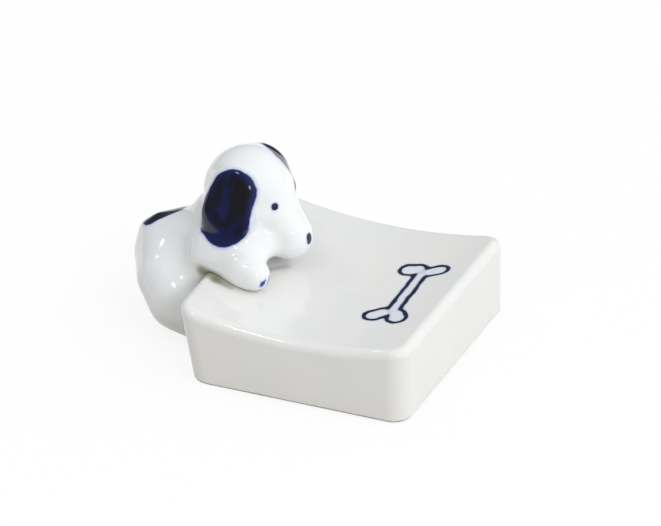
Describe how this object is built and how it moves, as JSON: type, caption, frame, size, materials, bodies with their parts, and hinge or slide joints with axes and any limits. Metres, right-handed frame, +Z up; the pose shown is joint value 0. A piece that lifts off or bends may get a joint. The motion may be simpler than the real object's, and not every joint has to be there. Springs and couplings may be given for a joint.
{
  "type": "chopstick rest",
  "caption": "Porcelain chopstick rest: a low square block with a saddle-shaped top, and a seated puppy that leans over one raised end with its forepaws on the top.",
  "frame": {"origin": "on the table, at the middle of the whole footprint's bounding box", "axes": "+X runs from the puppy to the free end of the block, +Y is along the chopsticks, +Z is up from the table"},
  "size_m": [0.0598, 0.0454, 0.0323],
  "materials": {
    "glazed_porcelain": "gloss clear glaze over white porcelain",
    "cobalt_glaze": "cobalt blue painting under gloss clear glaze"
  },
  "bodies": {
    "root": {"rest_block": "glazed_porcelain", "torso": "glazed_porcelain", "head": "glazed_porcelain", "right_foreleg": "glazed_porcelain", "left_foreleg": "glazed_porcelain", "right_hind_leg": "glazed_porcelain", "left_hind_leg": "glazed_porcelain", "right_ear": "cobalt_glaze", "left_ear": "cobalt_glaze", "tail": "cobalt_glaze"}
  },
  "joints": []
}
